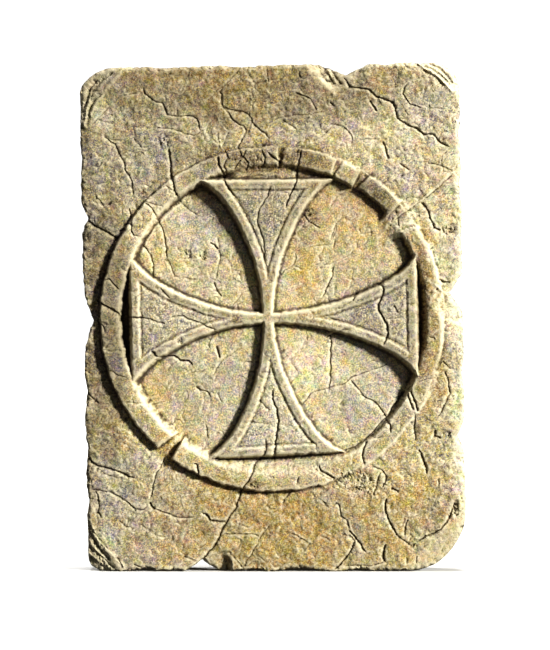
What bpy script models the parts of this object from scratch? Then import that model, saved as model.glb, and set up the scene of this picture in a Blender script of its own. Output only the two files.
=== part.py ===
"""Stone wall tile carved with a flared cross in a raised ring, with its bites, breaks and cracks.

The flat back lies on the plane Y = 0 and the carving faces -Y. Seen from the front, X runs to the
right and Z up, and the origin is the middle of the back. Sizes are in metres, angles in degrees.
"""

import math

import bmesh
import bpy

NODE = "cross_tile"

# Slab
TILE_WIDTH = 0.1525
TILE_HEIGHT = 0.200
TILE_THICKNESS = 0.022
FRONT_ARRIS = 0.0016
BACK_ARRIS = 0.0010
# Where the rounded front arris bends, as shares of its width and of its height
ARRIS_BEND_IN = 0.3
ARRIS_BEND_DOWN = 0.35

# Each corner: how far it is drawn in along X and Z, then the reach of its rounding along X and Z
CORNERS = {
    "top_left": (0.0, 0.0020, 0.0150, 0.0095),
    "bottom_left": (0.0036, 0.0, 0.0060, 0.0060),
    "bottom_right": (0.0, 0.0, 0.0270, 0.0270),
    "top_right": (0.0026, 0.0, 0.0110, 0.0110),
}
CORNER_STEPS = 6

# Each bite in a side: its place along the side from the middle, its half length and its depth
BITES = {
    "left": ((0.0388, 0.0085, 0.0025), (-0.0014, 0.0165, 0.0036)),
    "bottom": ((-0.0275, 0.0090, 0.0042),),
    "right": ((-0.0480, 0.0110, 0.0026), (0.0095, 0.0120, 0.0044)),
    "top": ((0.0290, 0.0140, 0.0044),),
}
BITE_STATIONS = (-1.0, -0.5, -0.2, 0.0, 0.2, 0.5, 1.0)

# Ring and sunk field
RING_CENTRE_Z = -0.0010
RING_SIDE_MARGIN = 0.0087
RING_TOP_WIDTH = 0.0068
RING_OUTER_RUN = 0.0013
RING_INNER_RUN = 0.0040
RING_RISE = 0.0024
RING_CROWN_SHARE = 0.25
RING_SHOULDER_SHARE = 0.8
FIELD_DEPTH_MIDDLE = 0.0016
FIELD_DEPTH_RIM = 0.0040
RING_STEPS = 96
FIELD_RINGS = (0.12, 0.45, 0.75)

# How high the worn ring still stands around the circle, as shares of its rise at each angle
RING_WEAR = (
    (0, 1.0), (30, 1.0), (50, 1.0), (72, 0.9), (92, 0.8), (104, 0.45), (122, 0.45), (132, 0.8),
    (150, 1.0), (228, 1.0), (282, 0.95), (292, 0.5), (302, 0.3), (324, 0.3), (336, 0.65),
    (348, 0.95), (360, 1.0),
)

# Missing stretches of the ring: middle and half width in degrees, then the level that is left.
# Each is a block whose corners turn this many half widths from its middle, clockwise from the
# inner one, first at its floor and then at its wider top.
GAP_FLOOR_TURNS = (-0.8, -1.0, 0.9, 1.0)
GAP_TOP_TURNS = (-1.1, -1.4, 1.3, 1.35)
RING_GAPS = {
    "upper_right": (38.0, 4.6, 0.0004),
    "upper_notch": (57.5, 1.5, -0.0006),
    "top_pit": (84.6, 3.8, 0.0002),
    "lower_left": (231.3, 2.3, -0.0006),
}
RING_CRACK_ANGLES = (14, 66, 101, 146, 157, 181, 190, 206, 246, 303, 330)
RING_CRACK_WIDTH = 0.0010
RING_CRACK_DEPTH = 0.0016
RING_CRACK_SLANT = 1.0

# Cross: each arm's direction, the gap between its end and the foot of the ring, and its flare share
CROSS_CENTRE_X = -0.0017
CROSS_CENTRE_Z = -0.0006
CROSS_RISE = 0.0022
CROSS_SIDE_RUN = 0.0010
# An arm's side bends at a share of its run and of its rise, and its top edge lies in by a share
ARM_BEND_OUT = 0.15
ARM_BEND_UP = 0.85
ARM_EDGE_IN = 0.25
WAIST = 0.0018
SPLAY_SHARE = 0.075
FLARE_POWER = 2
SPLAY_POWER = 14
ARM_STEPS = 14
ARMS = {
    "top": (90.5, 0.0027, 0.365),
    "right": (1.0, -0.0016, 0.300),
    "left": (181.0, 0.0031, 0.365),
    "bottom": (273.0, 0.0031, 0.375),
}

# Border line cut round each arm's panel
BORDER_WIDTH = 0.0037
GROOVE_WIDTH = 0.0009
GROOVE_DEPTH = 0.0009
PANEL_DROP = 0.0002
PANEL_TIP = 0.0004

# Long cracks: the level of the bottom, then points as shares of the half width and half height
CRACK_WIDTH = 0.0018
CRACKS = {
    "bottom_through": (-0.0014, (
        (-0.36, -1.02), (-0.26, -0.84), (-0.22, -0.77), (-0.14, -0.66), (-0.08, -0.58), (-0.04, -0.49))),
    "upper_right": (-0.0011, (
        (0.36, 1.02), (0.40, 0.90), (0.50, 0.89), (0.61, 0.84), (0.65, 0.775), (0.78, 0.715), (0.93, 0.66))),
    "upper_left": (-0.0012, ((-0.55, 0.68), (-0.525, 0.62), (-0.51, 0.55), (-0.475, 0.46))),
    "top_left_of_arm": (-0.0003, ((-0.28, 0.72), (-0.28, 0.62), (-0.24, 0.535), (-0.20, 0.47))),
    "top_arm": (0.0004, ((0.14, 0.66), (0.125, 0.58), (0.125, 0.53), (0.09, 0.457), (0.06, 0.41))),
    "right_arm": (0.0008, (
        (0.53, 0.13), (0.575, 0.105), (0.55, 0.035), (0.585, -0.015), (0.595, -0.06), (0.56, -0.12))),
    "bottom_arm": (0.0008, ((0.01, -0.28), (0.03, -0.37), (0.015, -0.465), (0.015, -0.57))),
    "lower_right": (-0.0012, ((0.59, -0.70), (0.585, -0.77), (0.64, -0.85), (0.72, -0.90))),
}

# Broken edges: two points where the break meets the face and its low tip outside the tile, as shares
# of the half width and half height, then the depth at the tip
CHIPS = {
    "top_left_corner": ((-1.06, 0.70), (-0.72, 1.06), (-1.06, 1.06), 0.0052),
    "top_right_corner": ((0.72, 1.05), (1.05, 0.78), (1.05, 1.05), 0.0040),
    "bottom_left_corner": ((-0.74, -1.05), (-1.05, -0.78), (-1.05, -1.05), 0.0048),
    "bottom_right_corner": ((1.06, -0.70), (0.46, -1.06), (1.06, -1.06), 0.0036),
    "top_bite": ((0.40, 0.86), (0.60, 1.04), (0.36, 1.04), 0.0022),
    "left_bite": ((-1.04, 0.16), (-0.86, -0.01), (-1.04, -0.16), 0.0018),
    "right_bite": ((1.04, -0.10), (0.86, 0.05), (1.04, 0.18), 0.0020),
}

STONE_COLOUR = (0.56, 0.46, 0.30, 1.0)
STONE_ROUGHNESS = 0.9

CLEAR = 0.004
OVERCUT = 0.001
MERGE_DISTANCE = 0.00001
ROUND_TURN = 360.0

half_width = TILE_WIDTH / 2
half_height = TILE_HEIGHT / 2
ring_outer = half_width - RING_SIDE_MARGIN
ring_top_inner = ring_outer - RING_TOP_WIDTH
field_radius = ring_top_inner - RING_INNER_RUN
above = max(RING_RISE, CROSS_RISE) + CLEAR


def level(height):
    """Y of a plane this far in front of the tile's outer face."""
    return -(TILE_THICKNESS + height)


def clear_scene():
    for item in list(bpy.data.objects):
        bpy.data.objects.remove(item, do_unlink=True)


def stone():
    material = bpy.data.materials.new("stone")
    material.use_nodes = True
    shader = material.node_tree.nodes["Principled BSDF"]
    shader.inputs["Base Color"].default_value = STONE_COLOUR
    shader.inputs["Roughness"].default_value = STONE_ROUGHNESS
    shader.inputs["Metallic"].default_value = 0.0
    material.diffuse_color = STONE_COLOUR
    return material


def loft(name, sections):
    """Closed solid through loops of points, one after another, with a cap at each end."""
    bm = bmesh.new()
    loops = [[bm.verts.new(point) for point in section] for section in sections]
    for low, high in zip(loops, loops[1:]):
        for i, corner in enumerate(low):
            j = (i + 1) % len(low)
            bm.faces.new((corner, low[j], high[j], high[i]))
    bmesh.ops.triangulate(bm, faces=bm.faces[:])
    bm.faces.new(loops[0])
    bm.faces.new(loops[-1])
    bmesh.ops.recalc_face_normals(bm, faces=bm.faces[:])
    mesh = bpy.data.meshes.new(name)
    bm.to_mesh(mesh)
    bm.free()
    solid = bpy.data.objects.new(name, mesh)
    bpy.context.collection.objects.link(solid)
    return solid


def combine(target, tool, operation):
    """Join the tool to the target or cut it away, and delete the tool.

    The exact solver leaves edges open where the sloping cutters cross the ring.
    """
    boolean = target.modifiers.new(operation.lower(), "BOOLEAN")
    boolean.operation = operation
    boolean.solver = "MANIFOLD"
    boolean.object = tool
    evaluated = target.evaluated_get(bpy.context.evaluated_depsgraph_get())
    result = bpy.data.meshes.new_from_object(evaluated)
    target.modifiers.clear()
    target.data = result
    bpy.data.objects.remove(tool, do_unlink=True)


def at_level(points, height):
    """Points of the front view, set on the plane at this height."""
    return [(x, level(height), z) for x, z in points]


def corner_arc(name, sign_x, sign_z):
    in_x, in_z, run_x, run_z = CORNERS[name]
    middle_x = sign_x * (half_width - in_x - run_x)
    middle_z = sign_z * (half_height - in_z - run_z)
    points = []
    for step in range(CORNER_STEPS + 1):
        turn = math.pi / 2 * step / CORNER_STEPS
        x = middle_x + sign_x * run_x * math.cos(turn)
        z = middle_z + sign_z * run_z * math.sin(turn)
        points.append((x, z))
    return points if sign_x * sign_z > 0 else points[::-1]


def bitten_side(start, end, side):
    """Points between two corners along a side, dipping inward at its bites."""
    along = 1 if side in ("left", "right") else 0
    inward = {"left": (1, 0), "bottom": (0, 1), "right": (-1, 0), "top": (0, -1)}[side]
    points = []
    for place, half_length, depth in BITES[side]:
        for station in BITE_STATIONS:
            share = (place + station * half_length - start[along]) / (end[along] - start[along])
            dip = depth * 0.5 * (1 + math.cos(math.pi * station))
            x = start[0] + share * (end[0] - start[0]) + inward[0] * dip
            z = start[1] + share * (end[1] - start[1]) + inward[1] * dip
            if 0 < share < 1:
                points.append((share, (x, z)))
    return [point for share, point in sorted(points)]


def tile_outline():
    """The tile's edge in the front view, anticlockwise from the top of the left side."""
    arcs = [
        corner_arc("top_left", -1, 1),
        corner_arc("bottom_left", -1, -1),
        corner_arc("bottom_right", 1, -1),
        corner_arc("top_right", 1, 1),
    ]
    outline = []
    for index, side in enumerate(("left", "bottom", "right", "top")):
        following = arcs[(index + 1) % len(arcs)]
        outline += arcs[index]
        outline += bitten_side(arcs[index][-1], following[0], side)
    return outline


def drawn_in(points, amount):
    """The outline pulled towards the middle by about this much on every side."""
    return [(x * (1 - amount / half_width), z * (1 - amount / half_height)) for x, z in points]


def make_slab():
    outline = tile_outline()
    return loft(NODE, [
        [(x, 0.0, z) for x, z in drawn_in(outline, BACK_ARRIS)],
        [(x, -BACK_ARRIS, z) for x, z in outline],
        at_level(outline, -FRONT_ARRIS),
        at_level(drawn_in(outline, FRONT_ARRIS * ARRIS_BEND_IN), -FRONT_ARRIS * ARRIS_BEND_DOWN),
        at_level(drawn_in(outline, FRONT_ARRIS), 0.0),
    ])


def circle(radius, height):
    """Loop around the ring's middle. The height is a number, or a function of the angle."""
    points = []
    for step in range(RING_STEPS):
        angle = ROUND_TURN * step / RING_STEPS
        rise = height(angle) if callable(height) else height
        turn = math.radians(angle)
        points.append((radius * math.cos(turn), level(rise), RING_CENTRE_Z + radius * math.sin(turn)))
    return points


def worn_rise(angle):
    """How high the ring stands at an angle."""
    for (start, low), (end, high) in zip(RING_WEAR, RING_WEAR[1:]):
        if start <= angle <= end:
            share = (angle - start) / (end - start)
            return RING_RISE * (low + (high - low) * share)
    return RING_RISE


def make_ring_disc():
    """Raised disc that the sunk field is cut from, which leaves the ring."""
    crown_run = RING_TOP_WIDTH * RING_CROWN_SHARE
    return loft("ring_disc", [
        circle(ring_outer + RING_OUTER_RUN, -CLEAR),
        circle(ring_outer + RING_OUTER_RUN, 0.0),
        circle(ring_outer, lambda angle: worn_rise(angle) * RING_SHOULDER_SHARE),
        circle(ring_outer - crown_run, worn_rise),
        circle(ring_top_inner - RING_INNER_RUN / 2, worn_rise),
        circle(field_radius / 2, RING_RISE),
    ])


def make_field_cutter():
    floor = []
    for share in FIELD_RINGS:
        depth = FIELD_DEPTH_MIDDLE + (FIELD_DEPTH_RIM - FIELD_DEPTH_MIDDLE) * share ** 2
        floor.append(circle(field_radius * share, -depth))
    slope = RING_INNER_RUN / (RING_RISE + FIELD_DEPTH_RIM)
    return loft("field_cutter", floor + [
        circle(field_radius, -FIELD_DEPTH_RIM),
        circle(field_radius + slope * (above + FIELD_DEPTH_RIM), above),
    ])


def make_ring_gap(name):
    """Block that takes a stretch of the ring down to the level that is left of it."""
    angle, half_angle, left_level = RING_GAPS[name]
    inner = field_radius - OVERCUT / 2
    outer = ring_outer + RING_OUTER_RUN + OVERCUT
    floor = []
    for radius, turn in zip((inner, outer, outer, inner), GAP_FLOOR_TURNS):
        floor.append(on_ring(radius, angle + turn * half_angle))
    top = []
    for radius, turn in zip((inner - OVERCUT, outer, outer, inner - OVERCUT), GAP_TOP_TURNS):
        top.append(on_ring(radius, angle + turn * half_angle))
    return loft(f"gap_{name}", [at_level(floor, left_level), at_level(top, above)])


def on_ring(radius, angle):
    turn = math.radians(angle)
    return (radius * math.cos(turn), RING_CENTRE_Z + radius * math.sin(turn))


def wedge(name, points, bottom, top, width):
    """Knife-shaped cutter along a route: sharp at the bottom level, full width at the top level."""
    sections = []
    for index, (x, z) in enumerate(points):
        before = points[max(index - 1, 0)]
        after = points[min(index + 1, len(points) - 1)]
        run_x, run_z = after[0] - before[0], after[1] - before[1]
        length = math.hypot(run_x, run_z)
        side_x, side_z = -run_z / length * width / 2, run_x / length * width / 2
        sections.append([
            (x - side_x, level(top), z - side_z),
            (x, level(bottom), z),
            (x + side_x, level(top), z + side_z),
        ])
    return loft(name, sections)


def make_ring_crack(angle):
    top = RING_RISE + OVERCUT
    bottom = worn_rise(angle) - RING_CRACK_DEPTH
    inner = on_ring(field_radius, angle - RING_CRACK_SLANT)
    outer = on_ring(ring_outer + RING_OUTER_RUN + OVERCUT, angle + RING_CRACK_SLANT)
    return wedge("ring_crack", [inner, outer], bottom, top, RING_CRACK_WIDTH)


def in_tile(share_x, share_z):
    return (share_x * half_width, share_z * half_height)


def make_crack(name):
    bottom, shares = CRACKS[name]
    points = [in_tile(*share) for share in shares]
    return wedge(f"crack_{name}", points, bottom, above, CRACK_WIDTH)


def make_chip(name):
    """Cutter with a sloping underside, level with the face at two points and low at its tip."""
    first, second, tip, depth = CHIPS[name]
    points = [in_tile(*first), in_tile(*second), in_tile(*tip)]
    heights = (0.0, 0.0, -depth)
    low = [(x, level(height), z) for (x, z), height in zip(points, heights)]
    return loft(f"chip_{name}", [low, at_level(points, above)])


def arm_half_width(share, reach, flare):
    """Half the arm's width at this share of its reach: a long curve that splays at the end."""
    return WAIST + reach * (flare * share ** FLARE_POWER + SPLAY_SHARE * share ** SPLAY_POWER)


def arm_outline(name, start, widen):
    """An arm's outline from a share of its reach to its end, widened or narrowed all round."""
    angle, end_gap, flare = ARMS[name]
    reach = field_radius - end_gap
    last = 1 + widen / reach
    side = [] if start > 0 else [(-WAIST / 2, WAIST / 2)]
    for step in range(ARM_STEPS + 1):
        share = start + (last - start) * step / ARM_STEPS
        side.append((share * reach, arm_half_width(min(share, 1.0), reach, flare) + widen))
    turn = math.radians(angle)
    outline = []
    for along, across in side + [(along, -across) for along, across in reversed(side)]:
        x = CROSS_CENTRE_X + along * math.cos(turn) - across * math.sin(turn)
        z = CROSS_CENTRE_Z + along * math.sin(turn) + across * math.cos(turn)
        outline.append((x, z))
    return outline


def make_arm(name):
    return loft(f"arm_{name}", [
        at_level(arm_outline(name, 0, CROSS_SIDE_RUN), -FIELD_DEPTH_RIM - OVERCUT),
        at_level(arm_outline(name, 0, CROSS_SIDE_RUN * ARM_BEND_OUT), CROSS_RISE * ARM_BEND_UP),
        at_level(arm_outline(name, 0, -CROSS_SIDE_RUN * ARM_EDGE_IN), CROSS_RISE),
    ])


def panel_start(name, inset):
    """Share of an arm's reach where it is wide enough for a panel this far inside its edges."""
    angle, end_gap, flare = ARMS[name]
    room = inset + PANEL_TIP - WAIST
    return (room / ((field_radius - end_gap) * flare)) ** (1 / FLARE_POWER)


def make_panel(name, low_inset, high_inset, bottom, top):
    """The sunk or standing solid of an arm's panel, with sloping sides."""
    return loft(f"panel_{name}", [
        at_level(arm_outline(name, panel_start(name, low_inset), -low_inset), bottom),
        at_level(arm_outline(name, panel_start(name, high_inset), -high_inset), top),
    ])


def carve_borders(tile):
    """Cut a line round each arm's panel, which leaves its raised border."""
    groove_floor = CROSS_RISE - GROOVE_DEPTH
    middle = BORDER_WIDTH + GROOVE_WIDTH / 2
    for name in ARMS:
        pocket = make_panel(name, middle, BORDER_WIDTH, groove_floor, CROSS_RISE + OVERCUT)
        combine(tile, pocket, "DIFFERENCE")
        panel_low = groove_floor - GROOVE_DEPTH / 2
        panel_top = CROSS_RISE - PANEL_DROP
        panel = make_panel(name, middle, BORDER_WIDTH + GROOVE_WIDTH, panel_low, panel_top)
        combine(tile, panel, "UNION")


def tidy(tile):
    bm = bmesh.new()
    bm.from_mesh(tile.data)
    bmesh.ops.remove_doubles(bm, verts=bm.verts[:], dist=MERGE_DISTANCE)
    bmesh.ops.dissolve_degenerate(bm, edges=bm.edges[:], dist=MERGE_DISTANCE)
    bmesh.ops.triangulate(bm, faces=bm.faces[:])
    bm.to_mesh(tile.data)
    bm.free()


def make_tile():
    tile = make_slab()
    combine(tile, make_ring_disc(), "UNION")
    combine(tile, make_field_cutter(), "DIFFERENCE")
    for name in RING_GAPS:
        combine(tile, make_ring_gap(name), "DIFFERENCE")
    for name in ARMS:
        combine(tile, make_arm(name), "UNION")
    carve_borders(tile)
    for angle in RING_CRACK_ANGLES:
        combine(tile, make_ring_crack(angle), "DIFFERENCE")
    for name in CHIPS:
        combine(tile, make_chip(name), "DIFFERENCE")
    for name in CRACKS:
        combine(tile, make_crack(name), "DIFFERENCE")
    tidy(tile)
    tile.data.materials.clear()
    tile.data.materials.append(stone())
    return tile


clear_scene()
make_tile()
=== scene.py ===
"""Looks of the stone cross tile: a worn relief of a flared cross in a ring, in warm buff stone.

Seen from the front, X runs right and Z up, and the carving faces -Y. The relief is worked out in
millimetres on a raster of the front view, and one mesh that stands for the tile takes it over.
"""

import math

import bmesh
import bpy
import numpy as np
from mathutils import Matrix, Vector


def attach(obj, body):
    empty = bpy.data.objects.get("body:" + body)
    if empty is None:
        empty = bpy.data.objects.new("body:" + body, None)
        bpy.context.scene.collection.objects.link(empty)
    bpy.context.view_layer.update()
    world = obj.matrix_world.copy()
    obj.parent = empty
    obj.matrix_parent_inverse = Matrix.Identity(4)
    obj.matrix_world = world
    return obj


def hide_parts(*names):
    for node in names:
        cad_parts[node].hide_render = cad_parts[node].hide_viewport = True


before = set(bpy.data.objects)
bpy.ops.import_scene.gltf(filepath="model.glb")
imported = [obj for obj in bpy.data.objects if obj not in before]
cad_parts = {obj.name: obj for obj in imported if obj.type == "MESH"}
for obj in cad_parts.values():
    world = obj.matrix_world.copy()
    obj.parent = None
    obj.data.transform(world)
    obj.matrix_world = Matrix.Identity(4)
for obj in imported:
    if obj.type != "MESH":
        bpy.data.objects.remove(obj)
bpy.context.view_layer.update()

MM = 0.001

# Tile, in millimetres
HALF_WIDTH = 76.25
HALF_HEIGHT = 100.0
THICKNESS = 22.0
HIGHEST = 2.38
LOWEST = -14.0
BACK_ARRIS = 1.0
SHARP_ANGLE = 48

# The photograph's size, where it shows the tile's middle and how large one of its pixels is there
PHOTO_WIDE = 550
PHOTO_HIGH = 650
PHOTO_X = 272.3
PHOTO_Y = 316.5
MM_PER_PX = 0.392

# Raster of the front view and spacing of the mesh that takes it over
PITCH = 0.2
RASTER_X = 78.0
RASTER_Z = 102.0
MESH_STEP = 0.23
SIDE_PITCH = 0.22
SIDE_LEVELS = 22
BACK_STEP = 8
TRIANGLES = 188000

# Corners: how far each is drawn in along X and Z, then the reach of its rounding
CORNERS = {
    "top_left": (0.3, 2.0, 15.0, 10.5),
    "bottom_left": (3.6, 0.0, 6.0, 6.0),
    "bottom_right": (0.0, 0.0, 22.0, 24.0),
    "top_right": (2.6, 0.0, 10.0, 10.5),
}

# Bites out of the sides: place from the middle, half length, depth, and the power of its flanks
BITES = {
    "left": (
        (38.8, 6.5, 2.5, 1.3), (-1.4, 13.0, 3.6, 1.2), (11.5, 3.0, 0.8, 1.0), (62.0, 6.0, 0.7, 1.0),
        (-30.0, 8.0, 0.9, 1.0), (-52.0, 5.0, 0.9, 1.0), (-72.0, 6.0, 0.8, 1.0)),
    "bottom": (
        (-27.5, 6.5, 4.2, 1.1), (-8.0, 5.0, 0.8, 1.0), (12.0, 8.0, 0.9, 1.0), (34.0, 5.0, 0.8, 1.0),
        (-50.0, 6.0, 0.8, 1.0)),
    "right": (
        (-46.5, 7.5, 2.9, 1.4), (9.6, 7.2, 5.0, 1.1), (52.0, 6.0, 0.7, 1.0), (72.0, 4.0, 0.9, 1.0),
        (30.0, 5.0, 0.6, 1.0), (-22.0, 7.0, 0.7, 1.0)),
    "top": (
        (29.0, 9.5, 4.4, 1.1), (21.0, 2.5, 1.0, 1.0), (-12.0, 6.0, 0.7, 1.0), (-42.0, 7.0, 0.6, 1.0),
        (45.0, 5.0, 0.7, 1.0)),
}

# Level of the outer face and height of its large and small waves
FACE_LEVEL = -0.26
FACE_LARGE_WAVES = 0.15
FACE_SMALL_WAVES = 0.12

# Worn arris around the face: its mean, least and greatest reach
ARRIS = 1.5
ARRIS_LEAST = 0.5
ARRIS_MOST = 3.2

# Ripples of the worn outline: size and depth of each, and the length of the outline
EDGE_RIPPLES = ((3.0, 0.16), (9.0, 0.22), (1.0, 0.07))
OUTLINE_LENGTH = 690.0

# How far inward the distance from the edge is worked out
EDGE_REACH = 9.0

# Ring
RING_Z = -1.0
RING_OUTER = 67.55
RING_MIDDLE = 64.0
FIELD_RADIUS = 56.75
RING_RISE = 2.36
FIELD_MIDDLE = 1.6

# Around the ring, by angle: its inner edge, its rise as a share, the run of its outer and inner
# slopes, where its crest lies from the inner edge to the outer one, how round its top is, the
# field's depth there and how far the face outside it is sunk
RING_INNER = (
    (0, 60.8), (30, 60.8), (43, 61.4), (57, 61.4), (60, 60.6), (125, 60.8), (160, 59.8), (205, 59.9),
    (240, 60.6), (360, 60.8))
RING_WEAR = (
    (0, 1.0), (30, 1.0), (50, 1.0), (72, 0.95), (92, 0.85), (102, 0.62), (112, 0.50), (122, 0.42),
    (134, 0.55), (141, 0.95), (150, 1.0), (228, 1.0), (278, 0.95), (292, 0.5), (302, 0.26), (324, 0.24),
    (336, 0.6), (348, 0.95), (360, 1.0))
RING_OUTER_RUN = (
    (0, 1.4), (10, 2.0), (22, 3.4), (34, 3.0), (44, 1.8), (60, 1.0), (80, 0.7), (180, 0.5), (280, 0.7),
    (310, 1.0), (345, 1.2), (360, 1.4))
RING_INNER_RUN = (
    (0, 3.2), (14, 2.6), (20, 1.3), (32, 1.2), (34.5, 7.5), (42, 7.0), (43.5, 0.8), (80, 1.0), (100, 1.6),
    (125, 1.4), (180, 1.2), (205, 2.6), (250, 3.6), (260, 7.0), (288, 6.6), (300, 1.0), (325, 1.2),
    (340, 2.4), (360, 3.2))
RING_CREST = (
    (0, 0.84), (30, 0.78), (44, 0.4), (150, 0.35), (250, 0.35), (320, 0.6), (345, 0.84), (360, 0.84))
RING_ROUND = ((0, 0.55), (30, 0.45), (44, 0.12), (230, 0.12), (320, 0.15), (345, 0.45), (360, 0.55))
OUTSIDE_SINK = ((0, 0.0), (44, 0.0), (134, 0.1), (147, 0.8), (235, 0.8), (280, 0.5), (300, 0.0), (360, 0.0))
FIELD_RIM = (
    (0, 3.4), (30, 2.4), (38, 1.6), (44, 1.1), (60, 1.1), (75, 1.5), (86, 0.9), (104, 0.9), (110, 3.6),
    (124, 4.2), (138, 3.0), (180, 4.0), (230, 3.0), (270, 3.0), (295, 1.8), (318, 2.2), (330, 4.0),
    (340, 4.0), (360, 4.0))

# Missing stretches of the ring: first and last angle, level left, lean of the ends
RING_GAPS = {
    "upper_right": (33.8, 42.0, 0.35, 1.5),
    "upper_notch": (56.4, 59.0, -0.8, 0.9),
    "small_notch": (66.2, 68.0, 0.6, 0.8),
    "top_slot": (86.3, 88.0, -0.3, 0.5),
    "lower_left": (229.0, 233.8, -0.7, 1.2),
}

# Pieces of the ring between its cracks: first and last angle, tilt outward, tilt along, lift
RING_CHUNKS = {
    "brown_top": (42.4, 56.4, 0.25, 0.20, 0.0),
    "grey": (59.0, 66.2, -0.30, -0.25, -0.1),
    "topped": (68.0, 81.0, 0.20, 0.25, -0.1),
    "sunk_stone": (81.0, 86.3, -0.20, -0.45, -0.75),
    "pitted": (88.0, 101.0, -0.20, 0.15, -0.2),
    "low": (101.0, 124.0, 0.10, -0.10, 0.0),
    "left_upper": (124.0, 146.0, 0.15, -0.30, -0.1),
    "left_a": (146.0, 157.0, -0.25, 0.25, -0.15),
    "left_b": (157.0, 181.0, 0.15, -0.20, 0.0),
    "left_c": (181.0, 190.0, -0.20, 0.25, -0.15),
    "left_d": (190.0, 206.0, 0.20, -0.15, 0.0),
    "left_e": (206.0, 229.0, -0.10, 0.20, -0.05),
    "bottom_a": (233.8, 246.0, 0.20, -0.20, -0.1),
    "bottom_b": (246.0, 270.0, -0.15, 0.20, 0.0),
}

# Cross: direction of each arm, its reach and the share of its flare
CROSS_X = -1.7
CROSS_Z = -0.6
CROSS_RISE = 2.2
CROSS_SIDE = 1.4
WAIST = 1.8
SPLAY = 0.075
ARMS = {
    "top": (90.5, 54.05, 0.365),
    "right": (1.0, 58.35, 0.300),
    "left": (181.0, 53.65, 0.365),
    "bottom": (273.0, 53.65, 0.375),
}
BORDER = 3.1
GROOVE = 1.6
GROOVE_DEPTH = 0.75
PANEL_DROP = 0.30

# Cracks: half width and depth of each kind, how far one side stands lower and how much painted shade
# darkens it
CRACK_KINDS = {
    "wide": (0.32, 0.95, 0.28, 0.80),
    "medium": (0.24, 0.50, 0.24, 0.42),
    "fine": (0.20, 0.32, 0.16, 0.25),
    "light": (0.30, 0.26, 0.24, 0.0),
}

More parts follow.
